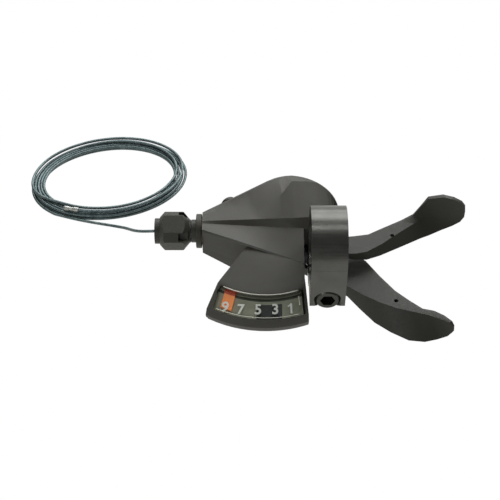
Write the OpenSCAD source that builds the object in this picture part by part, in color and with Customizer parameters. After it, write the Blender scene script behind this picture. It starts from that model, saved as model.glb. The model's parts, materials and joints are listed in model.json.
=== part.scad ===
// Bicycle shifter for a flat handlebar, right hand, nine steps, with its own
// gear cable lying in a loose coil. Units are millimetres.
// The origin is the centre of the bar clamp bore. +X runs along the bar toward
// the levers, +Y points forward and +Z up. The shifter lies on the plane z = table_z.

/* [Bar clamp] */
// Diameter of the handlebar that the clamp fits
bar_d = 22.2; // [21.8:0.1:22.6]
// Width of the clamp band along the bar
band_w = 13.2; // [12:0.1:14.4]
// Wall of the clamp band
band_t = 3.2; // [2.6:0.1:3.4]
// Slit that closes when the bolt is tightened
band_slit = 1.8; // [1.2:0.1:2.4]
// Depth of the bolt axis below the bar axis
bolt_drop = 16; // [15.8:0.1:16.4]
// Thread diameter of the clamp bolt
bolt_d = 6; // [5:0.5:6]
// Head diameter of the clamp bolt
bolt_head_d = 9.8; // [8.5:0.1:10]

/* [Covers] */
// Wall of the plastic covers
cover_wall = 1.6; // [1.2:0.1:2]
// Radius of the round back of the covers
dome_r = 19.2; // [19:0.1:20]
// Height of the split line between the covers
split_z = -20; // [-20.6:0.1:-19.8]
// Underside of the lower cover
floor_z = -25.8; // [-26:0.1:-25.6]

/* [Gear window] */
// Radius of the inner edge of the window
window_in = 31.6; // [31:0.1:32]
// Radius of the outer edge of the window
window_out = 41.4; // [41:0.1:42]
// Angle of the left end of the window from straight back
window_left = 32; // [31:0.1:32.4]
// Thickness of the clear lens
lens_t = 0.9; // [0.7:0.1:1]

/* [Shift mechanism] */
// Radius of the cable line on the drum
drum_r = 8; // [7.8:0.05:8.2]
// Teeth round the ratchet wheel
ratchet_teeth = 20; // [20:1:20]
// Tip radius of the ratchet wheel
ratchet_r = 11.5; // [11.2:0.1:11.6]
// Module of the gears that move the needle
gear_module = 0.8; // [0.8:0.1:0.8]
// Teeth of the pinion on the drum
pinion_teeth = 10; // [10:1:10]
// Teeth of a whole needle gear
sector_teeth = 35; // [35:1:35]
// Diameter of the main axle
axle_d = 6; // [5.4:0.1:6.2]
// Angle of the needle at rest from straight back
needle_rest = 25; // [24.5:0.1:25.6]

/* [Levers] */
// Thickness of the main lever at its hub
hub_t = 3.8; // [3.2:0.1:3.8]
// Radius of the main lever's hub
hub_r = 11; // [10:0.1:11.4]
// Thickness of the release lever at its hub
release_t = 2.7; // [2.2:0.1:2.8]

/* [Barrel adjuster] */
// Diameter of the adjuster knob across its flats
knob_d = 14.6; // [13.5:0.1:15.5]
// Length of the adjuster knob
knob_len = 12; // [11:0.5:12]
// Diameter of the seat for the cable housing
housing_d = 5.2; // [4.8:0.1:5.4]
// Outside diameter of the hollow screw
screw_d = 5.6; // [5.4:0.1:6]

/* [Gear cable] */
// Diameter of the gear cable
cable_d = 1.2; // [1.1:0.1:1.3]

/* [Hidden] */
eps = 0.01;
table_z = -34;
bar_r = bar_d / 2;
band_r = bar_r + band_t;
half_w = band_w / 2;
// needle axis and drum axle, ten millimetres apart
nx = -23;
ny = 19.5;
centre_gap = gear_module * (sector_teeth - pinion_teeth) / 2;
mesh_a = 36.87;
ax = nx + centre_gap * cos(mesh_a);
ay = ny + centre_gap * sin(mesh_a);
axle_r = axle_d / 2;
// plan of the covers
dome_x = -14;
dome_y = 22.5;
left_x = -47.4;
left_back = 27.5;
left_near = 16;
band_side = -8.3;
near_dome = 16;
// heights of the mechanism, from the top down
needle_top = -14.5;
needle_bot = -15.3;
drum_top = -16.2;
ratchet_top = -19;
ratchet_bot = -20.6;
carrier_top = -20.9;
carrier_bot = -22.2;
plate_top = -22.6;
plate_bot = -24.2;
hub_top = floor_z - 0.4;
hub_bot = hub_top - hub_t;
// release lever and holding pawl
rx = 1.5;
ry = 16.5;
release_r = 3.9;
release_top = -18.5;
release_bot = release_top - release_t;
hx = -4.5;
hy = 12.2;
// winding pawl pin, carried by the main lever
wr = 14.6;
wa = 165;
wx = ax + wr * cos(wa);
wy = ay + wr * sin(wa);
// the three cover screws
screw_at = [[-36, 28], [-1.5, 33.5], [-14, 8.5]];
// underside of the window wing
wing_z = -22.4;
// barrel
by = 21.9;
bz = -16.5;
knob_right = left_x - 4.6;
exit_x = knob_right - knob_len - 2;

// helpers

// straight interpolation in a list of [x, value] pairs
function look(t, x, i = 0) =
    x <= t[0][0] ? t[0][1]
    : i >= len(t) - 1 ? t[len(t) - 1][1]
    : x <= t[i + 1][0]
        ? t[i][1] + (t[i + 1][1] - t[i][1]) * (x - t[i][0]) / (t[i + 1][0] - t[i][0])
        : look(t, x, i + 1);

// solid through a row of closed rings that have the same number of points
module skin(rings) {
    n = len(rings[0]);
    m = len(rings);
    mid0 = [for (r = rings[0]) 1] * rings[0] / n;
    mid1 = [for (r = rings[0]) 1] * rings[m - 1] / n;
    pts = concat([for (r = rings) for (p = r) p], [mid0, mid1]);
    sides = [for (i = [0:m - 2]) for (j = [0:n - 1])
        let (a = i * n + j, b = i * n + (j + 1) % n)
        each [[a, b, a + n], [b, b + n, a + n]]];
    first = [for (j = [0:n - 1]) [n * m, (j + 1) % n, j]];
    last = [for (j = [0:n - 1]) [n * m + 1, (m - 1) * n + j, (m - 1) * n + (j + 1) % n]];
    polyhedron(points = pts, faces = concat(sides, first, last), convexity = 6);
}

module disc(r, z0, z1) {
    translate([0, 0, z0]) cylinder(r = r, h = z1 - z0, $fn = 64);
}

module ring(ro, ri, z0, z1) {
    difference() {
        disc(ro, z0, z1);
        disc(ri, z0 - 1, z1 + 1);
    }
}

// flat link between two round ends, sides parallel
module link(p, q, r, z0, z1) {
    a = atan2(q[1] - p[1], q[0] - p[0]);
    l = norm(q - p);
    translate([p[0], p[1], 0]) disc(r, z0, z1);
    translate([q[0], q[1], 0]) disc(r, z0, z1);
    translate([p[0], p[1], z0]) rotate([0, 0, a]) translate([0, -r, 0]) cube([l, 2 * r, z1 - z0]);
}

// sweep of a round wire with k sides along points whose runs are given
function unit(v) = v / norm(v);
function tang(p, i) = i == 0 ? unit(p[1] - p[0])
    : i == len(p) - 1 ? unit(p[i] - p[i - 1]) : unit(p[i + 1] - p[i - 1]);
module wire(p, r, k = 8, up = [0, 0, 1]) {
    skin([for (i = [0:len(p) - 1])
        let (t = tang(p, i), s = unit(cross(t, up)), w = cross(s, t))
        [for (j = [0:k - 1]) p[i] + r * (cos(360 * j / k) * s + sin(360 * j / k) * w)]]);
}

// helix about Z with n steps
function helix(r, z0, z1, turns, n, a0 = 0) =
    [for (i = [0:n]) let (a = a0 + 360 * turns * i / n)
        [r * cos(a), r * sin(a), z0 + (z1 - z0) * i / n]];

// covers

back_dx = dome_x - left_x;
up_a = asin(dome_r / norm([back_dx, dome_y - left_back])) - atan2(left_back - dome_y, back_dx);
low_a = asin(dome_r / norm([back_dx, dome_y - left_near])) - atan2(dome_y - left_near, back_dx);
up_t = dome_x - dome_r * sin(up_a);
low_t = dome_x - dome_r * sin(low_a);

function arc_y(x) = sqrt(max(0, dome_r * dome_r - (x - dome_x) * (x - dome_x)));
function back_y(x) = x < up_t ? left_back + tan(up_a) * (x - left_x) : dome_y + arc_y(x);
function low_y(x) = x < low_t ? left_near - tan(low_a) * (x - left_x) : dome_y - arc_y(x);
function ridge_y(x, dome) = dome ? max(near_dome, low_y(x))
    : look([[left_x, left_near], [-36, 10.6], [-12.5, 2.8], [band_side, 1.4]], x);
function rim_z(x) = look([[left_x, -10.4], [-37, -8.5], [-26, -6.3], [-19, -5], [-13, -4.2], [5, -4.4]], x);
function crease1(x) = [
    min(look([[left_x, 25.2], [-29, 27], [-19.5, 27.6], [-16.8, 30], [-12.6, 36], [5, 36]], x), back_y(x) - 2.6),
    look([[left_x, -9.9], [-29, -8.2], [-19.5, -5.8], [-16, -4.2], [-12.6, -3], [5, -3.6]], x)];
function crease2(x) = [look([[left_x, 20.9], [-29, 20.5], [-10.7, 19.1], [5, 21]], x),
    look([[left_x, -9.7], [-29, -8.4], [-10.7, -6], [5, -6.4]], x)];
function crease3(x) = [look([[left_x, 19.9], [-29, 18.7], [band_side, 16.4], [0, 17.4], [5, 19.6]], x),
    look([[left_x, -10], [-29, -10.1], [band_side, -8.9], [5, -8.6]], x)];
function ridge_z(x, dome) = dome ? -9.3 : look([[left_x, -9.8], [-36, -9.2], [-12.5, -12], [band_side, -12.2]], x);

// section of the body at x, pulled in by t; the bottom is at b
function body_ring(x, t, b, dome = false) = let (
    yb = back_y(x) - t, yn = ridge_y(x, dome) + t, z = rim_z(x) - t, zr = ridge_z(x, dome) - t,
    c1 = crease1(x), c2 = crease2(x), c3 = crease3(x),
    y1 = min(c1[0], yb - 2.2), y2 = min(c2[0], y1 - 0.6), y3 = min(c3[0], y2 - 0.4),
    yr = min(yn + 0.5, y3 - 0.3))
    [[x, min(yn, yr - 0.2), b], [x, min(yn, yr - 0.2), zr - 0.7], [x, yr, zr],
     [x, y3, c3[1] - t], [x, y2, c2[1] - t], [x, y1, c1[1] - t],
     [x, yb - 1.9, z], [x, yb - 1, z - 0.35], [x, yb - 0.35, z - 1.1], [x, yb, z - 2.2], [x, yb, b]];

body_x = [left_x, -45, -42, -38, -36, -33, -30, -27, -24, -21.9, -19.5, -18, -16.4, -14.8, -12.6, -10.5, band_side];
dome_xs = [band_side, -6.5, -4.5, -2.5, -0.8, 0.8, 2.2, 3.2, 4, 4.6, 5];

module body_solid(t, b) {
    xs = [for (x = body_x) x < left_x + t ? left_x + t : x > band_side - t ? band_side - t : x];
    skin([for (x = xs) body_ring(x, t, b)]);
    skin([for (x = dome_xs) body_ring(x - t, t, b, true)]);
}

// slice of a body of revolution about the needle axis, cut at x = side on the right
// and on the left by the wing's edge, moved in by k
function edge_hi(k) = [-41.7 + k, -8.3 + 0.4 * k];
function edge_lo(k) = [-45.5 + 2.4 * k, -16.9 - 0.6 * k];
module slice(pts, a0, a1, side, k) {
    hi = edge_hi(k);
    lo = edge_lo(k);
    intersection() {
        translate([nx, ny, 0]) rotate([0, 0, -90 - a0])
            rotate_extrude(angle = a0 + a1, $fn = 180) polygon(pts);
        translate([0, 0, -40]) linear_extrude(60) polygon([[side, 60], hi + 5 * (hi - lo),
            hi, lo, lo + 3 * (lo - hi), [side + 1.8, -45], [side + 1.8, -25], [side, -5]]);
    }
}

lens_drop = 4;
function cone_z(r) = -14 - lens_drop * (r - window_in) / (window_out - window_in);

module top_cover() {
    color([0.27, 0.27, 0.25]) difference() {
        union() {
            body_solid(0, split_z);
            slice([[10, wing_z], [10, -11.3], [19.7, -12.2], [30.4, -13.7], [window_in, -14.05],
                [window_out + 0.3, cone_z(window_out) - 0.1], [window_out + 1.1, -20],
                [window_out + 1.3, -20.8], [window_out + 1, wing_z]], 34.4, 62, band_side, 0);
            // socket for the barrel
            translate([left_x, by, bz]) rotate([0, 90, 0]) cylinder(r = 4.9, h = 5, $fn = 48);
        }
        difference() {
            union() {
                body_solid(cover_wall, split_z - 2);
                slice([[8, -24], [8, -13.2], [19.7, -13.8], [30.4, -15.2], [32, -15.3],
                    [window_out - 0.9, -18.9], [window_out - 0.9, -24]], 32.8, 66, band_side - cover_wall, 0.6);
            }
            // bosses for the three cover screws, the axle and the needle post
            for (p = screw_at) translate([p[0], p[1], 0]) disc(2.6, split_z + 0.02, 0);
            translate([ax, ay, 0]) disc(3.2, -13.4, 0);
            translate([nx, ny, 0]) disc(2.6, -13.6, 0);
        }
        // clear of the bar, of the drum's cable and of the release lever
        for (p = screw_at) translate([p[0], p[1], 0]) disc(1.1, -24, -14);
        translate([ax, ay, 0]) disc(1.75, -16, -10.5);
        translate([nx, ny, 0]) disc(1.15, -16, -11.5);
        slice([[window_in + 0.4, -10], [window_in + 0.4, -24], [window_out - 0.4, -24], [window_out - 0.4, -10]],
            window_left, 60, band_side - 1.1, 1);
        translate([left_x - 2, by, bz]) rotate([0, 90, 0]) cylinder(r = 3.6, h = 12, $fn = 48);
        translate([band_side + 0.1, 8, -24]) cube([18, 19, 24 + release_top + 0.7]);
        translate([ax, ay, 0]) disc(ratchet_r + 0.5, -24, ratchet_top + 0.5);
        at_port() translate([0, 0, -5]) cylinder(r = 2.05, h = 10, $fn = 32);
    }
}

module indicator_lens() {
    color([0.85, 0.87, 0.85, 0.35]) slice([
        [window_in + 0.45, cone_z(window_in) - 0.3], [window_in + 2.2, cone_z(window_in + 1.6)],
        [window_out - 2.4, cone_z(window_out - 2.2)], [window_out - 0.45, cone_z(window_out) - 0.2],
        [window_out - 0.45, cone_z(window_out) - 0.2 - lens_t],
        [window_out - 2.6, cone_z(window_out - 2.2) - lens_t], [window_in + 0.45, cone_z(window_in) - 0.3 - lens_t]],
        window_left - 0.1, 60, band_side - 1.15, 1.05);
}

dial_in = 24;
module dial_plate() {
    r = window_out - 1.5;
    color([0.36, 0.37, 0.30]) slice([[dial_in, -16.6], [window_in, -16.7], [r, cone_z(r) - 2.3],
        [r, cone_z(r) - 2.9], [window_in, -17.5], [dial_in, -17.4]], 32.4, 62, band_side - cover_wall - 0.15, 0.75);
}

// plan of the covers as a flat outline, pulled in by t
module plan(t) {
    offset_r = dome_r - t;
    polygon(concat(
        [for (i = [0:24]) let (a = 90 + up_a - i * (90 + up_a - 35) / 24)
            [dome_x + offset_r * cos(a), dome_y + offset_r * sin(a)]],
        [for (i = [1:20]) let (a = 35 - i * (35 + 90 + low_a) / 20)
            [dome_x + offset_r * cos(a), dome_y + offset_r * sin(a)]],
        [[left_x + t, left_near + t], [left_x + t, left_back - t]]));
}

// left end slopes up toward the barrel
module under_slope(t) {
    translate([left_x, 0, floor_z + 3.2 + t]) rotate([0, 16, 0]) translate([-5, -1, -20]) cube([25, 60, 20]);
}

module bottom_cover() {
    color([0.22, 0.22, 0.21]) difference() {
        union() {
            translate([0, 0, floor_z]) linear_extrude(split_z - floor_z) plan(0);
            slice([[12, -23.6], [12, wing_z - 0.02], [window_out + 0.9, wing_z - 0.02], [window_out + 0.5, -23.6]], 34.1, 58, band_side, 0.2);
        }
        difference() {
            translate([0, 0, plate_bot]) linear_extrude(10) plan(cover_wall);
            for (p = screw_at) translate([p[0], p[1], 0]) disc(2.6, -26, split_z);
            under_slope(cover_wall);
        }
        under_slope(0);
        // openings for the wing, the clamp, the release lever, the sleeve and the screws
        translate([nx, ny, 0]) rotate([0, 0, -126]) translate([0, 0, wing_z])
            rotate_extrude(angle = 92, $fn = 96) square([30, 4]);
        translate([band_side, -8, -30]) cube([20, 23.6, 12]);
        translate([-9.4, -8, plate_bot - 0.02]) cube([20, 27, 8]);
        translate([-4.2, 8, plate_bot - 0.02]) cube([14, 20, 8]);
        translate([ax, ay, 0]) disc(5.6, -30, -20);
        for (p = screw_at) translate([p[0], p[1], 0]) {
            disc(1.35, -30, -18);
            disc(2.3, -30, -24.7);
        }
        translate([left_x - 2, by, bz]) rotate([0, 90, 0]) cylinder(r = 5.1, h = 9, $fn = 48);
    }
}

module cover_screws() {
    color([0.55, 0.55, 0.57]) for (p = screw_at) translate([p[0], p[1], 0])
        difference() {
            union() {
                disc(2.2, -25.7, -24.7);
                disc(1.1, -24.8, -15);
            }
            for (a = [0, 90]) rotate([0, 0, a]) translate([-1.2, -0.25, -26]) cube([2.4, 0.5, 0.9]);
        }
}

module at_port() {
    translate([-37, back_y(-37), -12.8]) rotate([-90, 0, up_a]) children();
}

module cable_port_plug() {
    color([0.2, 0.2, 0.2]) at_port() {
        translate([0, 0, 0.02]) cylinder(r = 3, h = 1.5, $fn = 32);
        translate([0, 0, -1.6]) cylinder(r = 2, h = 2, $fn = 32);
    }
}

// clamp

module along_x(h) {
    rotate([90, 0, 90]) linear_extrude(h, center = true) children();
}

module clamp_band() {
    color([0.24, 0.24, 0.25]) difference() {
        along_x(band_w) difference() {
            union() {
                circle(r = band_r, $fn = 96);
                polygon([[-band_r, 1], [-band_r, -18.6], [-band_r + 1.4, -20], [10, -20], [10, -9], [0, -5]]);
                translate([0.2, plate_top]) square([9.8, 4]);
            }
            circle(r = bar_r, $fn = 96);
            translate([-band_slit - 0.1, -24]) square([band_slit, 14]);
        }
        // bolt hole with its counterbore
        translate([0, -20, -bolt_drop]) rotate([-90, 0, 0]) cylinder(r = bolt_d / 2 + 0.15, h = 20, $fn = 48);
        translate([0, -3, -bolt_drop]) rotate([-90, 0, 0]) cylinder(r = bolt_d / 2 - 0.25, h = 20, $fn = 48);
        translate([0, -20, -bolt_drop]) rotate([-90, 0, 0]) cylinder(r = bolt_head_d / 2 + 0.5, h = 12, $fn = 48);
        for (x = [-3.5, 3.5]) translate([x, 7, 0]) disc(1.2, -24, -20.6);
    }
}

module clamp_bolt() {
    color([0.13, 0.13, 0.14]) translate([0, -8, -bolt_drop]) rotate([-90, 0, 0]) difference() {
        union() {
            translate([0, 0, -5.2]) cylinder(r = bolt_head_d / 2, h = 5.2, $fn = 48);
            translate([0, 0, -6]) cylinder(r1 = bolt_head_d / 2 - 0.8, r2 = bolt_head_d / 2, h = 0.81, $fn = 48);
            cylinder(r = bolt_d / 2 - 0.3, h = 16.5, $fn = 48);
        }
        translate([0, 0, -6.5]) cylinder(r = 2.89, h = 3.9, $fn = 6);
    }
}

module band_rivets() {
    color([0.5, 0.5, 0.52]) for (x = [-3.5, 3.5]) translate([x, 7, 0]) {
        disc(1.2, -25, -20.8);
        disc(2.1, -25.3, plate_bot);
    }
}

module bracket_plate() {
    color([0.6, 0.6, 0.62]) difference() {
        union() {
            translate([ax, ay, 0]) disc(11.8, plate_bot, plate_top);
            link([ax + 6, ay - 4], [rx + 0.5, ry], 4.4, plate_bot, plate_top);
            translate([-half_w, 0.2, plate_bot]) cube([band_w, 16, plate_top - plate_bot]);
            link([-8, 16], [hx, hy + 1], 3.2, plate_bot, plate_top);
        }
        translate([ax, ay, 0]) disc(5.6, -26, -20);
        translate([rx, ry, 0]) disc(1.6, -26, -20);
        translate([hx, hy, 0]) disc(1.1, -26, -20);
        for (x = [-3.5, 3.5]) translate([x, 7, 0]) disc(1.2, -26, -20);
    }
}

// drum, ratchet, needle

module at_axle() {
    translate([ax, ay, 0]) children();
}

module main_axle() {
    color([0.62, 0.62, 0.64]) at_axle() {
        disc(axle_r, -32.6, -16.4);
        disc(1.75, -16.4, -10.6);
    }
}

module axle_washer() {
    color([0.62, 0.62, 0.64]) at_axle() ring(8.2, axle_r, hub_bot - 0.9, hub_bot - 0.3);
}

module axle_nut() {
    color([0.5, 0.5, 0.52]) at_axle() difference() {
        translate([0, 0, hub_bot - 3]) cylinder(r = 5.2, h = 2.1, $fn = 6);
        disc(axle_r, -36, -24);
    }
}

module hub_cap() {
    color([0.2, 0.2, 0.2]) at_axle() {
        ring(9, 8.2, table_z, hub_bot - 0.35);
        disc(8.2, table_z, table_z + 0.7);
    }
}

module cable_drum() {
    color([0.75, 0.75, 0.72]) at_axle() rotate_extrude($fn = 96) polygon([
        [axle_r + 0.05, ratchet_top], [9.6, ratchet_top], [9.6, ratchet_top + 0.55], [drum_r - 0.65, ratchet_top + 0.85],
        [drum_r - 0.65, drum_top - 0.55],
        [9.6, drum_top - 0.3], [9.6, drum_top], [1.85, drum_top], [1.85, drum_top - 0.15], [axle_r + 0.05, drum_top - 0.15]]);
}

module ratchet_wheel() {
    n = ratchet_teeth;
    color([0.55, 0.55, 0.57]) at_axle() difference() {
        translate([0, 0, ratchet_bot]) linear_extrude(ratchet_top - ratchet_bot) polygon([
            for (i = [0:n - 1]) let (a = 360 * i / n)
                each [[(ratchet_r - 1.5) * cos(a), (ratchet_r - 1.5) * sin(a)],
                    [ratchet_r * cos(a + 1), ratchet_r * sin(a + 1)],
                    [(ratchet_r - 0.7) * cos(a + 8), (ratchet_r - 0.7) * sin(a + 8)]]]);
        disc(axle_r + 0.05, -24, -16);
    }
}

// gear outline with straight flanks: tooth centres at a0 + k pitch
function teeth(n, tip, root, a0, share, k0, k1) = [for (k = [k0:k1]) let (c = a0 + 360 * k / n, h = 180 / n)
    each [[root, c - h * (share + 0.22)], [tip, c - h * (share - 0.2)],
        [tip, c + h * (share - 0.2)], [root, c + h * (share + 0.22)]]];
function xy(p) = [p[0] * cos(p[1]), p[0] * sin(p[1])];

pinion_pitch = gear_module * pinion_teeth / 2;
sector_pitch = gear_module * sector_teeth / 2;

module indicator_pinion() {
    color([0.85, 0.83, 0.78]) at_axle() translate([0, 0, drum_top]) difference() {
        union() {
            translate([0, 0, 0.5]) linear_extrude(1.6) polygon([for (p = teeth(pinion_teeth, pinion_pitch + 0.5,
                pinion_pitch - 0.85, mesh_a, 0.42, 0, pinion_teeth - 1)) xy(p)]);
            disc(3.1, 0, 1);
        }
        disc(1.85, -2, 4);
    }
}

sweep_a = 144 * pinion_teeth / sector_teeth;
rim_r = 16.2;
tip_in = 30;
module needle() {
    color([0.8, 0.79, 0.74]) translate([nx, ny, 0]) {
        difference() {
            union() {
                disc(2.5, needle_bot, needle_top);
                rotate([0, 0, 66]) translate([0, 0, needle_bot]) cube([15.2, 2.6, needle_top - needle_bot]);
                rotate([0, 0, -90 - needle_rest]) translate([0, -1.2, needle_bot])
                    cube([20, 2.4, needle_top - needle_bot]);
                rotate([0, 0, -90 - needle_rest]) rotate([90, 0, 0]) linear_extrude(2.4, center = true) polygon([
                    [19, needle_top], [21, needle_top], [tip_in, -15.55], [tip_in, -16.15], [20.6, needle_bot], [19, needle_bot]]);
                // rim with the inner teeth
                translate([0, 0, needle_bot]) linear_extrude(needle_top - needle_bot) polygon(concat(
                    [for (a = [-5:4:79]) xy([rim_r, a])],
                    [for (a = [79, 76]) xy([sector_pitch + 0.75, a])],
                    [for (i = [0:len(rim_teeth) - 1]) xy(rim_teeth[len(rim_teeth) - 1 - i])],
                    [xy([sector_pitch + 0.75, -5])]));
            }
            disc(1.15, -18, -12);
        }
    }
}
// teeth of the rim point inward; the gaps face the pinion's teeth
rim_teeth = teeth(sector_teeth, sector_pitch - 0.5, sector_pitch + 0.75,
    mesh_a + 180 / sector_teeth, 0.42, -4, 3);

// the strip leans a little toward the last number
tip_rows = [[tip_in, 0, -15.55], [window_in, 0.3, -15.72],
    [window_out - 3, 1.5, cone_z(window_out - 3) - 1.4]];
module needle_tip() {
    color([0.93, 0.36, 0.12]) translate([nx, ny, 0]) rotate([0, 0, -90 - needle_rest])
        skin([for (q = tip_rows) [[q[0], q[1] - 2.2, q[2]], [q[0], q[1] + 2.2, q[2]],
            [q[0], q[1] + 2.2, q[2] - 0.6], [q[0], q[1] - 2.2, q[2] - 0.6]]]);
}

module needle_post() {
    color([0.6, 0.6, 0.62]) translate([nx, ny, 0]) {
        disc(1.1, -15.6, -11.6);
        disc(2.1, -15.75, -15.4);
    }
}

module cable_nipple() {
    color([0.7, 0.7, 0.7]) at_axle() rotate([0, 0, -60]) translate([drum_r + 0.35, 0, 0]) disc(0.6, -17.9, -17);
}

module drum_spring() {
    color([0.45, 0.45, 0.48]) at_axle() wire(helix(4.3, -13.3, -8.6, 5.2, 84), 0.4, 6);
}

module inner_cable() {
    // from the drum's near side to the adjuster's outer end
    p = concat([for (a = [-64:-8:-96]) [ax + drum_r * cos(a), ay + drum_r * sin(a), -17.45]],
        [[-18, 17.85, -17.42], [-26, 19.1, -17.15], [-35, 20.5, -16.8], [-42, 21.6, -16.55],
        [-46, by, bz], [-56, by, bz], [exit_x, by, bz]]);
    color([0.3, 0.33, 0.34]) wire(p, cable_d / 2, 8);
}

// pawls and levers

module pawl_carrier() {
    color([0.55, 0.55, 0.57]) difference() {
        union() {
            at_axle() disc(7.5, carrier_bot, carrier_top);
            link([ax, ay], [wx, wy], 2.3, carrier_bot, carrier_top);
        }
        at_axle() disc(axle_r + 0.05, -26, -18);
        translate([wx, wy, 0]) disc(0.9, -26, -18);
    }
}

module lever_sleeve() {
    color([0.62, 0.62, 0.64]) at_axle() ring(5.2, axle_r + 0.05, hub_bot, carrier_bot);
}

module winding_pawl_pin() {
    color([0.7, 0.7, 0.7]) translate([wx, wy, 0]) {
        disc(0.9, carrier_bot, ratchet_top + 0.3);
        disc(1.5, ratchet_top + 0.1, ratchet_top + 0.5);
    }
}

tip_r = ratchet_r + 0.5;
module pawl(px, py, a, len_p, w) {
    // a straight pawl from its pin toward its tip, with a beak at the end
    difference() {
        union() {
            translate([px, py, 0]) disc(w, ratchet_bot + 0.05, ratchet_top - 0.05);
            translate([px, py, ratchet_bot + 0.05]) rotate([0, 0, a])
                linear_extrude(ratchet_top - ratchet_bot - 0.1) children();
        }
    }
}

module winding_pawl() {
    tip = [ax + tip_r * cos(187), ay + tip_r * sin(187)];
    v = tip - [wx, wy];
    a = atan2(v[1], v[0]);
    color([0.5, 0.5, 0.52]) difference() {
        pawl(wx, wy, a, norm(v), 2) polygon([[0, -1.9], [norm(v) - 2, -1.7], [norm(v), -0.5], [norm(v), 0], [norm(v) - 3, 0.3], [0, 1.7]]);
        translate([wx, wy, 0]) disc(0.95, -24, -16);
    }
}

module holding_pawl() {
    tip = [ax + tip_r * cos(-33), ay + tip_r * sin(-33)];
    v = tip - [hx, hy];
    a = atan2(v[1], v[0]);
    color([0.5, 0.5, 0.52]) difference() {
        pawl(hx, hy, a, norm(v), 1.9) polygon([[0, -1.6], [norm(v) - 2, -1.2], [norm(v), -0.5], [norm(v), 0], [norm(v) - 3, 0.2], [0, 1.6]]);
        translate([hx, hy, 0]) disc(1.15, -24, -16);
    }
}

module pawl_pin() {
    color([0.7, 0.7, 0.7]) translate([hx, hy, 0]) {
        disc(1.1, plate_bot, ratchet_top + 0.3);
        disc(1.7, ratchet_top + 0.1, ratchet_top + 0.5);
        disc(1.9, plate_top, ratchet_bot - 0.02);
    }
}

module release_pin() {
    color([0.7, 0.7, 0.7]) translate([rx, ry, 0]) {
        disc(1.6, plate_bot, release_top + 0.1);
        disc(2.8, release_top + 0.1, release_top + 0.6);
    }
}

module release_spring() {
    color([0.45, 0.45, 0.48]) translate([rx, ry, 0]) wire(helix(2.6, -22.3, -21.5, 1.4, 30), 0.22, 6);
}

// rings of a lever: fold, front top, back top, back bottom, near bottom
function lever_ring(s) = [s[0], s[1], s[2], s[3], s[4]];

release_rows = [
    [[7, 12.1, -18.6], [7, 19, -18.6], [7, 20.6, -18.7], [7, 20.4, -21.1], [7, 12.1, -21.1]],
    [[12, 12, -18.7], [12, 20.4, -18.7], [12, 21.4, -18.9], [12, 21.2, -21.1], [12, 11.4, -21.6]],
    [[16.3, 13, -18.8], [17.2, 21.4, -18.8], [17.5, 22.4, -19], [17.5, 22, -21.1], [16.5, 11.9, -22.2]],
    [[22.6, 17.2, -18.8], [23.2, 24.6, -18.8], [23.4, 25.8, -19], [23.4, 25.4, -21.1], [21.8, 14.1, -22.3]],
    [[29.8, 23, -18.5], [30.8, 28.6, -18.4], [31, 29.7, -18.6], [31, 29.2, -21], [29, 18, -22.3]],
    [[36, 27.5, -18.1], [35.6, 30.6, -17], [35.8, 31.8, -17.2], [36.2, 31.3, -20.6], [35, 21.4, -22.4]],
    [[39, 29.2, -18], [38.4, 31.9, -13.2], [38.9, 33.2, -13.2], [39.4, 33.2, -20], [38.4, 23.3, -22.4]],
    [[42.5, 30.2, -18], [41, 32.9, -10], [41.2, 34.3, -9.9], [42.5, 34.8, -19.6], [42, 25, -22.4]],
    [[47.3, 31.2, -17.7], [47.1, 33.1, -9.1], [47.1, 34.7, -9.1], [47.3, 35.4, -19], [47, 27.7, -22.3]],
    [[51.5, 31.9, -17.4], [51.4, 32.9, -10.3], [51.5, 34.5, -10.3], [51.5, 35.4, -18.8], [51.5, 29.6, -21.9]],
    [[55, 32.3, -17], [54.7, 32.7, -12], [54.8, 34, -12], [55, 35, -18], [54.8, 31, -21]],
    [[56.5, 32.7, -16.6], [56.2, 32.9, -14], [56.3, 33.6, -14], [56.5, 34.2, -17.4], [56.4, 32.2, -19.4]]];

module release_lever() {
    color([0.26, 0.26, 0.25]) difference() {
        union() {
            translate([rx, ry, 0]) disc(release_r, release_bot, release_top);
            translate([rx, ry - release_r, release_bot]) cube([5.8, 2 * release_r, release_t]);
            skin([for (s = release_rows) lever_ring(s)]);
        }
        translate([rx, ry, 0]) disc(1.65, -26, -16);
        translate([26.9, 21.5, 0]) disc(0.8, -26, -16);
    }
}

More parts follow.
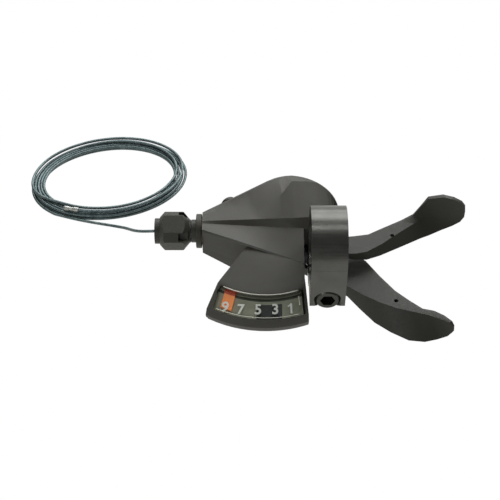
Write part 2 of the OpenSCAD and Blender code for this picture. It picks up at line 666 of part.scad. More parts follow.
main_rows = [
    [[-13, 16, -26.3], [-8.2, 24, -26.3], [-7, 26, -26.4], [-7, 26, -30], [-13, 16, -30]],
    [[-9.5, 12.6, -26.3], [-1.6, 24.4, -26.3], [-0.8, 25.8, -26.5], [-0.8, 25.8, -30], [-9.5, 12.4, -30]],
    [[0.3, 6.4, -26.1], [7.6, 19.4, -26.1], [8.4, 20.9, -26.3], [8.4, 20.5, -30], [0.3, 6, -30.2]],
    [[8.9, 1.5, -26], [15.6, 13.6, -26], [16.6, 14.9, -26.2], [16, 13.9, -29.6], [8.9, 0.6, -31]],
    [[14.5, -2.7, -26], [20.6, 5.8, -26], [21.6, 7, -26.2], [20.6, 5.2, -30], [13.8, -4.3, -33]],
    [[20.5, -6.3, -26], [26, -1.2, -26], [27, -0.4, -26.2], [26, -2.4, -30.6], [19, -10, -34]],
    [[26.5, -9.1, -26], [31.1, -5.8, -26], [32, -5.2, -26.2], [31.5, -7.4, -31.2], [25, -14.8, -34]],
    [[33, -11.1, -26], [36, -9.9, -26], [36.8, -9.3, -26.2], [36.8, -12, -32], [31.5, -18.7, -34]],
    [[38.5, -12.6, -26], [40.6, -11, -26], [41.2, -10.4, -26.2], [41.4, -13.5, -33], [37.5, -19.4, -34]],
    [[42.8, -14.1, -26.4], [44.2, -12.9, -26.3], [44.8, -12.3, -26.6], [45.2, -15, -33.5], [42.3, -18.2, -34]],
    [[46.4, -15.5, -27.1], [47.3, -14.8, -27.1], [47.7, -14.4, -27.5], [47.9, -15.8, -33], [46.3, -17.1, -33.4]],
    [[48, -15.8, -28.6], [48.4, -15.5, -28.6], [48.6, -15.3, -28.9], [48.7, -15.9, -31.4], [48.1, -16.5, -31.6]]];

module main_lever() {
    color([0.26, 0.26, 0.25]) difference() {
        union() {
            at_axle() disc(hub_r, hub_bot, hub_top);
            skin([for (s = main_rows) lever_ring(s)]);
        }
        at_axle() {
            disc(5.2, -40, -20);
            difference() {
                disc(9.4, hub_bot + 1, -20);
                disc(6.4, -40, -20);
            }
        }
        translate([27, -5.6, 0]) disc(0.8, -29, -20);
    }
}

module main_lever_spring() {
    color([0.45, 0.45, 0.48]) at_axle() wire(helix(7.9, hub_top - 1.9, hub_top - 0.3, 2, 40), 0.4, 6);
}

// barrel adjuster

module on_barrel(x) {
    translate([x, by, bz]) rotate([0, 90, 0]) children();
}

module barrel_nut() {
    color([0.65, 0.62, 0.5]) on_barrel(left_x - 0.6) difference() {
        union() {
            cylinder(r = 3.6, h = 9, $fn = 48);
            cylinder(r = 4.8, h = 0.6, $fn = 48);
        }
        translate([0, 0, -1]) cylinder(r = screw_d / 2 + 0.1, h = 12, $fn = 48);
    }
}

module detent_spring() {
    color([0.5, 0.5, 0.52]) on_barrel(left_x - 1.5) wire(helix(4.5, 0.3, 0.7, 1, 20), 0.2, 6);
}

collar_left = knob_right + 0.15;
module detent_collar() {
    color([0.24, 0.24, 0.23]) on_barrel(collar_left) difference() {
        union() {
            cylinder(r = 4.5, h = 2.1, $fn = 48);
            translate([0, 0, 2]) cylinder(r = 6.7, h = left_x - 0.25 - collar_left - 2, $fn = 48);
        }
        translate([0, 0, -1]) cylinder(r = screw_d / 2 + 0.2, h = 12, $fn = 48);
        translate([0, 0, left_x - 1.5 - collar_left]) cylinder(r = 5.6, h = 8, $fn = 48);
    }
}

// four wide and four narrow flats, turned as they stand in the cover
knob_turn = 19;
wide_r = knob_d / 2.21;
module adjuster_knob() {
    far = knob_d / 2 + 0.4;
    color([0.25, 0.25, 0.24]) on_barrel(exit_x) difference() {
        union() {
            cylinder(r = 5, h = 2.2, $fn = 48);
            translate([0, 0, 2]) intersection() {
                rotate([0, 0, knob_turn]) translate([-wide_r, -wide_r, 0]) cube([2 * wide_r, 2 * wide_r, knob_len]);
                rotate([0, 0, knob_turn + 45]) translate([-knob_d / 2, -knob_d / 2, 0]) cube([knob_d, knob_d, knob_len]);
                rotate_extrude($fn = 96) polygon([[0, 0], [far - 2.2, 0], [far, 2],
                    [far, knob_len - 3], [5.2, knob_len - 0.9], [4.5, knob_len - 0.3], [4.5, knob_len], [0, knob_len]]);
            }
        }
        // pocket at the inner end of each narrow flat
        for (i = [0:3]) rotate([0, 0, knob_turn + 45 + 90 * i])
            translate([5.3, -1.6, knob_len - 2.6]) cube([4, 3.2, 6]);
        translate([0, 0, -1]) cylinder(r = housing_d / 2, h = 7, $fn = 48);
        translate([0, 0, -1]) cylinder(r = screw_d / 2, h = 40, $fn = 48);
    }
}

module adjuster_screw() {
    color([0.6, 0.6, 0.62]) on_barrel(exit_x + 6) difference() {
        cylinder(r = screw_d / 2, h = left_x + 4 - exit_x - 6, $fn = 48);
        translate([0, 0, -1]) cylinder(r = 1.1, h = 40, $fn = 48);
    }
}

// free cable

// route on round numbers: out of the adjuster, down and round to the coil
run_pts = [[exit_x, 21.9, -16.5], [-69.5, 22, -16.8], [-73, 23.5, -18.5], [-76, 27, -21.5], [-78.5, 32, -25.5],
    [-81.5, 36, -29.5], [-85, 39.6, -32.3], [-90, 41.9, -33.4]];
function bez(p, i, t) = let (
    a = p[max(0, i - 1)], b = p[i], c = p[i + 1], d = p[min(len(p) - 1, i + 2)])
    0.5 * (2 * b + (c - a) * t + (2 * a - 5 * b + 4 * c - d) * t * t + (3 * b - a - 3 * c + d) * t * t * t);
run_line = concat([for (i = [0:len(run_pts) - 2]) for (k = [0:1]) bez(run_pts, i, k / 2)],
    [run_pts[len(run_pts) - 1]]);

module cable_run() {
    color([0.3, 0.33, 0.34]) wire(run_line, cable_d / 2, 8);
}

coil_c = [-88.4, 67.7];
coil_tilt = 12;
coil_h = 4;
function oval(a, b, c, n) = [for (i = [0:n - 1]) let (t = 360 * i / n)
    c + [a * cos(t) * cos(coil_tilt) - b * sin(t) * sin(coil_tilt),
        a * cos(t) * sin(coil_tilt) + b * sin(t) * cos(coil_tilt)]];

module cable_coil() {
    color([0.3, 0.33, 0.34]) translate([0, 0, table_z]) linear_extrude(coil_h) difference() {
        polygon(oval(33.6, 24, coil_c, 72));
        polygon(oval(26.6, 17.6, coil_c + [-1, 0], 72));
    }
}

module cable_end_cap() {
    color([0.75, 0.75, 0.76]) translate([-99.3, 46.9, -30.5]) rotate([0, 90, 160]) difference() {
        cylinder(r = 1, h = 8, $fn = 32);
        translate([0, 0, 5]) cylinder(r = 0.65, h = 4, $fn = 32);
    }
}

clamp_band();
clamp_bolt();
band_rivets();
bracket_plate();
top_cover();
bottom_cover();
cover_screws();
indicator_lens();
dial_plate();
cable_port_plug();
main_axle();
axle_washer();
axle_nut();
hub_cap();
cable_drum();
ratchet_wheel();
indicator_pinion();
cable_nipple();
needle();
needle_tip();
needle_post();
drum_spring();
inner_cable();
pawl_carrier();
lever_sleeve();
winding_pawl_pin();
winding_pawl();
holding_pawl();
pawl_pin();
release_pin();
release_spring();
release_lever();
main_lever();
main_lever_spring();
barrel_nut();
detent_spring();
detent_collar();
adjuster_knob();
adjuster_screw();
cable_run();
cable_coil();
cable_end_cap();
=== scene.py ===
import json
import math
import bmesh
import bpy
from mathutils import Matrix, Vector


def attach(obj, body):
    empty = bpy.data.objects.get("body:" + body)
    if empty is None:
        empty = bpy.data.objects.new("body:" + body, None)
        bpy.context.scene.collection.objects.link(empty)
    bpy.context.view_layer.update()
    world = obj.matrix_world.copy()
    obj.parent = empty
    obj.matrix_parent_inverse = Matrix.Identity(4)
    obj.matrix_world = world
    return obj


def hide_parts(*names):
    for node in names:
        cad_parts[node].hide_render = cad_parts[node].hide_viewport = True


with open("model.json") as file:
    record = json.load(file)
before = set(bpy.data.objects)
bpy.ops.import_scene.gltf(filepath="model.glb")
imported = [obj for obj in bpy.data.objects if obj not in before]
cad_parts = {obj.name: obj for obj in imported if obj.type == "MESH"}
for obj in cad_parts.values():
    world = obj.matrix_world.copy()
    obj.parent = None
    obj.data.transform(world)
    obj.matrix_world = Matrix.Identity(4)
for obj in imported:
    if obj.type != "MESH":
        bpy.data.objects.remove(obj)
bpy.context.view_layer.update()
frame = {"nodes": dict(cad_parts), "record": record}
MM = 0.001
scene = bpy.context.scene
NODES = frame["nodes"]
BODY_OF = {n: b for b, ns in frame["record"]["behaviour"]["bodies"].items() for n in ns}

# the needle's axis in millimetres: window, dial and numbers lie round it
AXIS_X = -23
AXIS_Y = 19.5

# camera: fitted to the photograph with the 22.2 mm bar
cam_data = bpy.data.cameras.new("camera")
cam_data.lens = 93.3
cam_data.sensor_width = 36
cam_data.clip_start = 0.05
cam_data.clip_end = 10
cam = bpy.data.objects.new("camera", cam_data)
cam.location = (-0.02889, -0.32276, 0.35518)
cam.rotation_euler = (math.radians(42), 0, 0)
scene.collection.objects.link(cam)
scene.camera = cam


# materials
class Mat:
    """A node material built up in steps."""

    def __init__(self, name):
        self.m = bpy.data.materials.new(name)
        self.m.use_nodes = True
        self.t = self.m.node_tree
        self.p = self.t.nodes["Principled BSDF"]
        self.co = self.add("ShaderNodeTexCoord").outputs["Object"]

    def add(self, kind, **attrs):
        n = self.t.nodes.new(kind)
        for k, v in attrs.items():
            setattr(n, k, v)
        return n

    def link(self, a, b):
        self.t.links.new(a, b)

    def put(self, value, socket):
        """Links a socket, or sets a number."""
        if isinstance(value, (int, float)):
            socket.default_value = value
        else:
            self.link(value, socket)

    def maths(self, operation, *values):
        n = self.add("ShaderNodeMath", operation=operation)
        for k, value in enumerate(values):
            self.put(value, n.inputs[k])
        return n.outputs[0]

    def noise(self, scale, detail=3.0, rough=0.55, stretch=None):
        n = self.add("ShaderNodeTexNoise")
        n.inputs["Scale"].default_value = scale
        n.inputs["Detail"].default_value = detail
        n.inputs["Roughness"].default_value = rough
        src = self.co
        if stretch:
            m = self.add("ShaderNodeMapping")
            m.inputs["Scale"].default_value = stretch
            self.link(src, m.inputs["Vector"])
            src = m.outputs["Vector"]
        self.link(src, n.inputs["Vector"])
        return n.outputs["Fac"]

    def ramp(self, fac, low, high, a, b):
        r = self.add("ShaderNodeMapRange")
        for k, v in (("From Min", low), ("From Max", high), ("To Min", a), ("To Max", b)):
            r.inputs[k].default_value = v
        self.link(fac, r.inputs["Value"])
        return r.outputs["Result"]

    def mix(self, fac, a, b):
        n = self.add("ShaderNodeMix", data_type="RGBA")
        self.link(fac, n.inputs["Factor"])
        for sock, v in ((n.inputs["A"], a), (n.inputs["B"], b)):
            if isinstance(v, tuple):
                sock.default_value = (*v, 1)
            else:
                self.link(v, sock)
        return n.outputs["Result"]

    def colour(self, v):
        self.link(v, self.p.inputs["Base Color"])

    def bump(self, fac, distance, strength=1.0, after=None):
        b = self.add("ShaderNodeBump")
        b.inputs["Distance"].default_value = distance
        b.inputs["Strength"].default_value = strength
        self.link(fac, b.inputs["Height"])
        if after is not None:
            self.link(after, b.inputs["Normal"])
        self.link(b.outputs["Normal"], self.p.inputs["Normal"])
        return b.outputs["Normal"]


def moulded(name, col, rough=0.5, grain=0.000012):
    """Finely textured moulded plastic with a faint change of tone."""
    m = Mat(name)
    tone = m.ramp(m.noise(60, 4), 0.3, 0.7, 0, 1)
    dark = tuple(c * 0.9 for c in col)
    lite = tuple(min(1, c * 1.1) for c in col)
    m.colour(m.mix(tone, dark, lite))
    fine = m.noise(5200, 2, 0.6)
    patches = m.ramp(m.noise(900, 3), 0.3, 0.7, rough - 0.05, rough + 0.06)
    m.link(patches, m.p.inputs["Roughness"])
    n = m.bump(fine, grain, 0.9)
    m.bump(m.noise(420, 2), 0.00001, 0.35, n)
    m.p.inputs["Specular IOR Level"].default_value = 0.32
    return m.m


def metal(name, col, rough=0.3, brushed=(1, 1, 1), grain=0.000006, metallic=1.0):
    """Metal with fine turning or brushing marks along one direction."""
    m = Mat(name)
    m.p.inputs["Metallic"].default_value = metallic
    tone = m.ramp(m.noise(150, 4), 0.3, 0.7, 0, 1)
    dark = tuple(c * 0.88 for c in col)
    lite = tuple(min(1, c * 1.08) for c in col)
    m.colour(m.mix(tone, dark, lite))
    marks = m.noise(1500, 4, 0.6, brushed)
    m.link(m.ramp(marks, 0.25, 0.75, rough - 0.06, rough + 0.08), m.p.inputs["Roughness"])
    m.bump(marks, grain, 0.8)
    return m.m


COVER = moulded("cover_plastic_look", (0.042, 0.041, 0.034), 0.4)
LOWER = moulded("lower_cover_look", (0.036, 0.035, 0.030), 0.43)
LEVER = moulded("lever_look", (0.024, 0.024, 0.019), 0.5, 0.00001)
KNOB = moulded("knob_look", (0.030, 0.030, 0.024), 0.45, 0.00001)
BAND = metal("band_anodised", (0.10, 0.10, 0.094), 0.3, (0.06, 1, 1), 0.000004, 0.92)
BOLT = metal("bolt_black_oxide", (0.055, 0.055, 0.05), 0.28, (1, 1, 1), 0.000004, 0.85)
STEEL = metal("zinc_steel", (0.52, 0.53, 0.55), 0.3, (1, 1, 0.1))
SPRING = metal("spring_steel", (0.32, 0.33, 0.34), 0.33)
BRASS = metal("brass_look", (0.25, 0.18, 0.09), 0.36, (0.1, 1, 1))
ALLOY = metal("cap_alloy_look", (0.42, 0.43, 0.41), 0.5, (1, 1, 1), 0.00001)
NYLON = moulded("nylon_look", (0.52, 0.5, 0.45), 0.4, 0.000004)
WHITE = moulded("needle_white_look", (0.6, 0.58, 0.52), 0.42, 0.000004)


def cable_look():
    m = Mat("cable_look")
    m.p.inputs["Metallic"].default_value = 0.75
    tone = m.ramp(m.noise(380, 4), 0.3, 0.7, 0, 1)
    m.colour(m.mix(tone, (0.08, 0.112, 0.117), (0.16, 0.205, 0.21)))
    m.link(m.ramp(m.noise(2500, 3), 0.3, 0.7, 0.4, 0.58), m.p.inputs["Roughness"])
    m.bump(m.noise(4200, 2), 0.00001, 0.5)
    return m.m


def by_radius(m):
    """Distance in millimetres from the needle's axis."""
    s = m.add("ShaderNodeSeparateXYZ")
    m.link(m.co, s.inputs[0])
    squares = []
    for k, centre in (("X", AXIS_X * MM), ("Y", AXIS_Y * MM)):
        squares.append(m.maths("POWER", m.maths("SUBTRACT", s.outputs[k], centre), 2))
    return m.maths("MULTIPLY", m.maths("SQRT", m.maths("ADD", *squares)), 1000)


def near(m, r, at, half):
    """1 where r is within half of at."""
    return m.maths("COMPARE", r, at, half)


def along_x(m, x, half):
    """1 where the place lies within half of x, in metres."""
    t = m.add("ShaderNodeSeparateXYZ")
    m.link(m.co, t.inputs[0])
    return near(m, t.outputs["X"], x, half)


# the dial's dark field, in metres along the bar and in millimetres from the axis, and its dark arc, which
# is painted shade under the lens's inner edge
FIELD_X = -0.0217
FIELD_X_HALF = 0.0048
FIELD_R = 38
FIELD_R_HALF = 3.8
SHADE_ARC_R = 32.6
SHADE_ARC_HALF = 0.5


def dial_look():
    m = Mat("dial_look")
    r = by_radius(m)
    tone = m.ramp(m.noise(90, 3), 0.3, 0.7, 0, 1)
    c = m.mix(tone, (0.38, 0.37, 0.31), (0.43, 0.42, 0.355))
    field = m.maths("MULTIPLY", along_x(m, FIELD_X, FIELD_X_HALF), near(m, r, FIELD_R, FIELD_R_HALF))
    c = m.mix(field, c, (0.012, 0.014, 0.024))
    # painted shade: a dark arc on the dial where the lens's inner edge shades it
    c = m.mix(near(m, r, SHADE_ARC_R, SHADE_ARC_HALF), c, (0.05, 0.053, 0.04))
    m.colour(c)
    m.p.inputs["Roughness"].default_value = 0.42
    m.bump(m.noise(5000, 2), 0.000004, 0.5)
    return m.m


def tip_look():
    m = Mat("needle_orange_look")
    # the strip is dark red near the axis, which is painted shade under the lens's inner edge, and orange
    # beyond these distances
    past_painted_shade = m.ramp(by_radius(m), 33.1, 33.4, 0, 1)
    tone = m.ramp(m.noise(300, 3), 0.3, 0.7, 0, 1)
    c = m.mix(tone, (0.92, 0.22, 0.045), (0.98, 0.28, 0.065))
    m.colour(m.mix(past_painted_shade, (0.52, 0.045, 0.012), c))
    m.p.inputs["Roughness"].default_value = 0.35
    # painted glow: the strip glows by itself, standing in partly for fluorescent plastic that gives back a
    # little more light than falls on it and partly for light; the glow is also darker near the axis,
    # painted shade
    m.link(m.mix(past_painted_shade, (0.3, 0.02, 0.005), (1.0, 0.33, 0.12)), m.p.inputs["Emission Color"])
    m.p.inputs["Emission Strength"].default_value = 0.22
    m.bump(m.noise(5000, 2), 0.000003, 0.5)
    return m.m


def lens_look():
    m = Mat("lens_look")
    g = m.add("ShaderNodeBsdfGlossy")
    g.inputs["Roughness"].default_value = 0.04
    m.link(m.bump(m.noise(260, 2), 0.000002, 0.1), g.inputs["Normal"])
    tr = m.add("ShaderNodeBsdfTransparent")
    tr.inputs["Color"].default_value = (0.93, 0.95, 0.92, 1)
    f = m.add("ShaderNodeFresnel")
    f.inputs["IOR"].default_value = 1.46
    blend = m.add("ShaderNodeMixShader")
    m.link(m.ramp(f.outputs[0], 0, 1, 0, 0.55), blend.inputs[0])
    m.link(tr.outputs[0], blend.inputs[1])
    m.link(g.outputs[0], blend.inputs[2])
    m.link(blend.outputs[0], m.t.nodes["Material Output"].inputs["Surface"])
    return m.m


CABLE = cable_look()
DIAL = dial_look()
TIP = tip_look()
LENS = lens_look()
# light strips on the lens: the inner and outer ones are painted highlights along the lens's edges, the
# side one is a short light mark at the window's right end
STRIP_LOOK = moulded("lens_light_strip_look", (0.7, 0.7, 0.62), 0.2, 0.000002)
DIGIT = moulded("digit_look", (0.95, 0.95, 0.92), 0.5, 0.000002)

# nodes that aren't named here are zinc plated steel
LOOKS = {
    COVER: ["top_cover"],
    LOWER: ["bottom_cover", "cable_port_plug", "hub_cap"],
    LEVER: ["main_lever", "release_lever"],
    KNOB: ["detent_collar", "adjuster_knob"],
    BAND: ["clamp_band"],
    BOLT: ["clamp_bolt"],
    BRASS: ["barrel_nut"],
    DIAL: ["dial_plate"],
    TIP: ["needle_tip"],
    LENS: ["indicator_lens"],
    WHITE: ["needle"],
    CABLE: ["inner_cable"],
    NYLON: ["cable_drum", "indicator_pinion"],
    ALLOY: ["cable_nipple", "cable_end_cap"],
    SPRING: ["drum_spring", "release_spring", "main_lever_spring", "detent_spring"]}
LOOK_OF = {n: m for m, ns in LOOKS.items() for n in ns}


def look_of(node):
    return LOOK_OF.get(node, STEEL)


def paint(o, m):
    o.data.materials.clear()
    o.data.materials.append(m)


for name, o in NODES.items():
    paint(o, look_of(name))


# pieces
def add_object(name, mesh, body, material):
    o = bpy.data.objects.new(name, mesh)
    scene.collection.objects.link(o)
    paint(o, material)
    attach(o, body)
    return o


def copy_mesh(node, flat):
    """The CAD node's mesh with its vertices joined and its flat faces made whole."""
    me = NODES[node].data.copy()
    b = bmesh.new()
    b.from_mesh(me)
    bmesh.ops.remove_doubles(b, verts=b.verts, dist=2e-6)
    bmesh.ops.dissolve_limit(b, angle_limit=math.radians(flat), verts=b.verts, edges=b.edges)
    b.to_mesh(me)
    b.free()
    for k in list(me.attributes.keys()):
        if "normal" in k:
            me.attributes.remove(me.attributes[k])
    return me


def finer(node, width, segments=3, angle=28, flat=1.0):
    """The node again with rounded edges. Width is in millimetres. Edges sharper than angle are
    rounded, and faces that meet at less than flat degrees are joined."""
    me = copy_mesh(node, flat)
    o = add_object(node + "_shape", me, BODY_OF[node], look_of(node))
    me.shade_smooth()
    v = o.modifiers.new("round", "BEVEL")
    v.width = width * MM
    v.segments = segments
    v.limit_method = "ANGLE"
    v.angle_limit = math.radians(angle)
    v.harden_normals = True
    v.use_clamp_overlap = True
    w = o.modifiers.new("normals", "WEIGHTED_NORMAL")
    w.keep_sharp = False
    w.mode = "FACE_AREA_WITH_ANGLE"
    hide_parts(node)


finer("top_cover", 0.3, 3, 22, 2.6)
finer("main_lever", 0.5, 4, 32)
finer("release_lever", 0.5, 4, 32)
finer("bottom_cover", 0.3)
finer("clamp_band", 0.35, 3, 35)
finer("clamp_bolt", 0.35, 3, 35)
finer("adjuster_knob", 0.45, 3, 20)
finer("detent_collar", 0.3)
finer("cable_port_plug", 0.3)
finer("hub_cap", 0.4)
finer("axle_nut", 0.3)
finer("bracket_plate", 0.2)
finer("cover_screws", 0.15)
finer("band_rivets", 0.3)
finer("axle_washer", 0.12)

# the window lies on a cone about the needle's axis
AXIS = Vector((AXIS_X, AXIS_Y, 0)) * MM
W_IN = 31.6
W_OUT = 41.4
DROP = 4.0
SLOPE = math.atan2(DROP, W_OUT - W_IN)


def cone_z(r):
    return -14 - DROP * (r - W_IN) / (W_OUT - W_IN)


def on_cone(x, y, drop, lean):
    """Matrix at a place of the window, lying on its cone, turned by lean from straight."""
    out = Vector((x, y, 0)) - AXIS / MM
    r = out.length
    out.normalize()
    n = (out * math.sin(SLOPE) + Vector((0, 0, math.cos(SLOPE)))).normalized()
    a = math.radians(lean)
    right = Vector((math.cos(a), math.sin(a), 0))
    right = (right - n * right.dot(n)).normalized()
    m = Matrix((right, n.cross(right), n)).transposed().to_4x4()
    m.translation = Vector((x, y, cone_z(r) - drop)) * MM
    return m


# outline of the figure one, in millimetres; the other figures come from the font
ONE = ((0.75, -2), (0.75, 2), (0.12, 2), (-0.1, 1.62), (-0.5, 1.3), (-0.95, 1.12), (-0.95, 0.52),
       (-0.45, 0.7), (-0.02, 1.0), (-0.02, -2))


def figure_one():
    b = bmesh.new()
    f = b.faces.new([b.verts.new((x * MM, y * MM, 0)) for x, y in ONE])
    f.normal_update()
    if f.normal.z < 0:
        f.normal_flip()
    me = bpy.data.meshes.new("figure_one")
    b.to_mesh(me)
    b.free()
    return me


def figure_from_font(figure):
    t = bpy.data.curves.new("figure", "FONT")
    t.body = figure
    t.size = 5.5 * MM
    t.align_x = "CENTER"
    t.align_y = "CENTER"
    t.extrude = 0.01 * MM
    t.offset = 0.13 * MM
    o = bpy.data.objects.new("figure", t)
    scene.collection.objects.link(o)
    bpy.context.view_layer.update()
    me = bpy.data.meshes.new_from_object(o.evaluated_get(bpy.context.evaluated_depsgraph_get()))
    bpy.data.objects.remove(o)
    return me


# the gear numbers: place in millimetres and lean in degrees, and how far they lie below the cone
NUMBER_DROP = 0.94
NUMBERS = (("9", -38.2, -15.7, -12), ("7", -32.4, -17.1, -4), ("5", -25.9, -17.4, -1),
           ("3", -19.5, -17.3, 1), ("1", -13.9, -16.6, 3))
for figure, x, y, lean in NUMBERS:
    me = figure_one() if figure == "1" else figure_from_font(figure)
    me.transform(on_cone(x, y, NUMBER_DROP, lean))
    add_object("number_" + figure, me, "chassis", DIGIT)

# points across a light strip's half round, and how far it stands off the lens in millimetres
STRIP_POINTS = 6
STRIP_LIFT = 0.005


def lens_strip(name, start, end, w, h, count=48):
    """A thin light strip raised on the lens between two places, each an angle and a radius; on the lens's
    edges its light colour is a painted highlight.
    """
    b = bmesh.new()
    spots = []
    for i in range(count + 1):
        a, r = (u + (v - u) * i / count for u, v in zip(start, end))
        a = math.radians(a)
        spots.append(Vector((r * math.sin(a), -r * math.cos(a))))
    rows = []
    for i, p in enumerate(spots):
        along = (spots[min(i + 1, count)] - spots[max(i - 1, 0)]).normalized()
        across = Vector((along.y, -along.x))
        row = []
        for k in range(STRIP_POINTS):
            t = math.pi * k / (STRIP_POINTS - 1)
            q = p + across * (w * math.cos(t))
            z = cone_z(q.length) + h * math.sin(t) + STRIP_LIFT
            row.append(b.verts.new(AXIS + Vector((q.x, q.y, z)) * MM))
        rows.append(row)
    for ra, rb in zip(rows, rows[1:]):
        for k in range(STRIP_POINTS):
            j = (k + 1) % STRIP_POINTS
            b.faces.new((ra[k], ra[j], rb[j], rb[k]))
    b.faces.new(rows[0])
    b.faces.new(list(reversed(rows[-1])))
    bmesh.ops.recalc_face_normals(b, faces=b.faces)
    me = bpy.data.meshes.new(name)
    b.to_mesh(me)
    b.free()
    me.shade_smooth()
    add_object(name, me, "chassis", STRIP_LOOK)


# painted highlights along the lens's inner and outer edges, and a short light strip at the window's right
# end
lens_strip("lens_highlight_inner", (-29.4, 32.15), (21.4, 32.15), 0.14, 0.1)
lens_strip("lens_highlight_outer", (-27.4, 40.4), (17.8, 40.4), 0.1, 0.08)
lens_strip("lens_light_strip_side", (20.9, 34.4), (19.7, 37.4), 0.22, 0.08, 8)

# the free cable, in millimetres: its radius, the level it lies on, and the coil's middle and tilt
R = 0.6
FLOOR = -34.0
CC = Vector((-87.9, 66.9))
TILT = math.radians(12)
# half the length and width of the outermost turn
LONG = 33.2
SHORT = 23.2
# distance between turns side by side, what is added to it at the right, and between layers
LANE = 1.27
LANE_MORE = 0.4
RISE = 1.26
# how much each layer sways from the oval
SWAY = (0.0, 0.5, 0.35)
# the first part of a turn comes in from outside by this much
LEAD = 1.3
LEAD_TURN = 0.09
# a crossing shorter than this part of a turn eases sideways too
SHORT_STEP = 0.16


def oval(t, inward):
    x = (LONG - inward) * math.cos(t)
    y = (SHORT - inward) * math.sin(t)
    return Vector((CC.x + x * math.cos(TILT) - y * math.sin(TILT),
                   CC.y + x * math.sin(TILT) + y * math.cos(TILT)))


def ease(x):
    x = max(0.0, min(1.0, x))
    return x * x * (3 - 2 * x)


def catmull(p, i, t):
    """A point on the smooth curve through the points p, between the i-th and the next."""
    a = p[max(0, i - 1)]
    b = p[i]
    c = p[i + 1]
    d = p[min(len(p) - 1, i + 2)]
    return 0.5 * (2 * b + (c - a) * t + (2 * a - 5 * b + 4 * c - d) * t * t
                  + (3 * b - a - 3 * c + d) * t ** 3)


# the run from the adjuster to the coil, as in the CAD part
RUN = [Vector(p) for p in ((-66, 21.9, -16.5), (-69.5, 22, -16.8), (-73, 23.5, -18.5), (-76, 27, -21.5),
                           (-78.5, 32, -25.5), (-81.5, 36, -29.5), (-85, 39.6, -32.3), (-90, 41.9, -33.4))]
START = math.radians(-112)
# turns done, lane from the outside, layer from the table
KEYS = ((0, 0, 0), (3.96, 3.6, 0), (4.1, 3.55, 1), (7.0, 1.0, 1), (7.3, 0.55, 1), (7.5, 1.7, 2),
        (7.75, 2.9, 2), (8.0, 3.9, 2), (8.07, 3.9, 2), (8.2, -0.1, 2), (8.33, -0.35, 2), (8.5, 0.3, 2),
        (8.75, 1.4, 2.15), (9.038, 2.35, 2.3))


def keyed(turn):
    """Lane and layer after so many turns."""
    for a, b in zip(KEYS, KEYS[1:]):
        if turn <= b[0]:
            u = (turn - a[0]) / (b[0] - a[0])
            w = ease(u) if b[0] - a[0] < SHORT_STEP else u
            return a[1] + (b[1] - a[1]) * w, a[2] + (b[2] - a[2]) * ease(u)
    return KEYS[-1][1:]


def coil_point(turn):
    """A point of the coil after so many turns, clockwise from above."""
    t = START - 2 * math.pi * turn
    wide = LANE + LANE_MORE * max(0.0, math.cos(t)) ** 2
    lane, layer = keyed(turn)
    inward = lane * wide - LEAD * (1 - ease(turn / LEAD_TURN))
    k = min(int(layer), 1)
    amount = SWAY[k] + (SWAY[k + 1] - SWAY[k]) * (layer - k)
    inward += amount * (0.6 + math.sin(2 * t + 1.1 * layer) * 0.6)
    p = oval(t, inward)
    return Vector((p.x, p.y, FLOOR + R + 0.01 + RISE * layer))


RUN_STEPS = 12
COIL_STEPS = 1400
rough = [catmull(RUN, i, k / RUN_STEPS) for i in range(len(RUN) - 1) for k in range(RUN_STEPS)]
total = KEYS[-1][0]
rough += [coil_point(total * k / COIL_STEPS) for k in range(COIL_STEPS + 1)]

# soften the whole path a little, and the run with its join to the coil much more;
# the first points stay where they are
KEEP = 3
ROUNDS_ALL = 12
ROUNDS_RUN = 160
for k in range(ROUNDS_RUN):
    stop = len(rough) - 1 if k < ROUNDS_ALL else RUN_STEPS * len(RUN)
    rough[KEEP:stop] = [(rough[i - 1] + rough[i] * 2 + rough[i + 1]) / 4 for i in range(KEEP, stop)]

# space the points evenly
so_far = [0.0]
for a, b in zip(rough, rough[1:]):
    so_far.append(so_far[-1] + (b - a).length)
length = so_far[-1]
rings = 2300
path = []
j = 0
for i in range(rings + 1):
    s = length * i / rings
    while j < len(so_far) - 2 and so_far[j + 1] < s:
        j += 1
    f = (s - so_far[j]) / max(1e-9, so_far[j + 1] - so_far[j])
    path.append(rough[j].lerp(rough[j + 1], f))

# points round the cable, its strands, the length of their twist and the depth between them
SIDES = 18
LOBES = 6
PITCH = 9.0
GROOVE = 0.05
verts = []
faces = []
side = Vector((0, 0, 1))
for i, p in enumerate(path):
    t = (path[min(i + 1, rings)] - path[max(i - 1, 0)]).normalized()
    side = (side - t * side.dot(t)).normalized()
    up = t.cross(side)
    twist = 2 * math.pi * (length * i / rings) / PITCH
    for k in range(SIDES):
        a = 2 * math.pi * k / SIDES
        r = R * (1 - GROOVE + GROOVE * abs(math.cos(LOBES / 2 * a)))
        q = a + twist
        verts.append((p + (side * math.cos(q) + up * math.sin(q)) * r) * MM)
for i in range(rings):
    for k in range(SIDES):
        a = i * SIDES + k
        b = i * SIDES + (k + 1) % SIDES
        faces.append((a, b, b + SIDES, a + SIDES))
faces.append(tuple(reversed(range(SIDES))))
faces.append(tuple(range(rings * SIDES, (rings + 1) * SIDES)))
me = bpy.data.meshes.new("gear_cable")
me.from_pydata(verts, [], faces)
me.shade_smooth()
cable = add_object("gear_cable", me, "chassis", CABLE)
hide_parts("cable_run", "cable_coil")

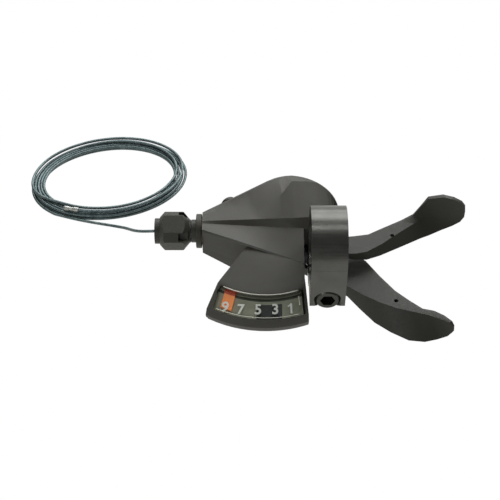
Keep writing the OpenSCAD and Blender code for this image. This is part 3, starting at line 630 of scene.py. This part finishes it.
# crimped cap on the cable's end: places along it with their radius, in millimetres
CAP = ((-2.2, 0.72), (-2.2, 0.95), (-1.6, 1.0), (-0.5, 1.0), (0.0, 0.78), (0.9, 0.74), (1.8, 0.78),
       (2.3, 1.0), (3.6, 0.98), (4.1, 0.7), (4.25, 0.0))
CAP_SIDES = 24
CRIMP_FROM = -0.3
CRIMP_TO = 2.0
tail = path[-1]
way = (path[-1] - path[-4]).normalized()
turned = way.to_track_quat("Z", "Y").to_matrix()
cap = bmesh.new()
grid = []
for x, r in CAP:
    row = []
    for k in range(CAP_SIDES):
        a = 2 * math.pi * k / CAP_SIDES
        flat = 0.8 + 0.2 * abs(math.cos(a)) if CRIMP_FROM < x < CRIMP_TO else 1.0
        v = tail + turned @ Vector((r * flat * math.cos(a), r * math.sin(a), x))
        row.append(cap.verts.new(v * MM))
    grid.append(row)
for ra, rb in zip(grid, grid[1:]):
    for k in range(CAP_SIDES):
        j = (k + 1) % CAP_SIDES
        cap.faces.new((ra[k], ra[j], rb[j], rb[k]))
cap.faces.new(tuple(reversed(grid[0])))
bmesh.ops.remove_doubles(cap, verts=cap.verts, dist=1e-7)
bmesh.ops.recalc_face_normals(cap, faces=cap.faces)
cap_me = bpy.data.meshes.new("end_cap")
cap.to_mesh(cap_me)
cap.free()
cap_me.shade_smooth()
cap_o = add_object("cable_cap", cap_me, "chassis", ALLOY)
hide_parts("cable_end_cap")

# studio: the camera sees plain white, and the light that falls on the part is darker from above
world = bpy.data.worlds.new("studio")
scene.world = world
world.use_nodes = True
wt = world.node_tree
wt.nodes.clear()
out = wt.nodes.new("ShaderNodeOutputWorld")
soft = wt.nodes.new("ShaderNodeBackground")
white = wt.nodes.new("ShaderNodeBackground")
mix = wt.nodes.new("ShaderNodeMixShader")
path_n = wt.nodes.new("ShaderNodeLightPath")
coord = wt.nodes.new("ShaderNodeTexCoord")
sep = wt.nodes.new("ShaderNodeSeparateXYZ")
ramp = wt.nodes.new("ShaderNodeMapRange")
wt.links.new(coord.outputs["Generated"], sep.inputs[0])
wt.links.new(sep.outputs["Z"], ramp.inputs["Value"])
for k, v in (("From Min", -0.08), ("From Max", 0.1), ("To Min", 0.85), ("To Max", 0.16)):
    ramp.inputs[k].default_value = v
wt.links.new(ramp.outputs["Result"], soft.inputs["Strength"])
soft.inputs["Color"].default_value = (1, 0.99, 0.94, 1)
white.inputs["Color"].default_value = (1, 1, 1, 1)
white.inputs["Strength"].default_value = 1.0
wt.links.new(path_n.outputs["Is Camera Ray"], mix.inputs[0])
wt.links.new(soft.outputs[0], mix.inputs[1])
wt.links.new(white.outputs[0], mix.inputs[2])
wt.links.new(mix.outputs[0], out.inputs["Surface"])


def lamp(name, at, to, size, power):
    d = bpy.data.lights.new(name, "AREA")
    d.shape = "RECTANGLE"
    d.size = size[0]
    d.size_y = size[1]
    d.energy = power
    o = bpy.data.objects.new(name, d)
    o.location = at
    o.rotation_euler = (Vector(to) - Vector(at)).to_track_quat("-Z", "Y").to_euler()
    scene.collection.objects.link(o)


lamp("top", (-0.03, 0.55, 0.5), (-0.03, 0.04, 0), (1.1, 0.3), 4)
lamp("over", (0.34, 0.42, 0.42), (-0.02, 0.03, 0), (0.3, 0.25), 2)
lamp("strip", (0.0, 0.1, 0.7), (0, 0.02, 0), (0.6, 0.05), 0.9)
lamp("back", (-0.1, 0.75, 0.25), (-0.03, 0.03, 0), (0.8, 0.25), 2)
lamp("front", (-0.35, -0.6, 0.25), (-0.03, 0.02, 0), (0.3, 0.2), 1)

scene.render.engine = "CYCLES"
scene.view_settings.view_transform = "Standard"
scene.cycles.samples = 160
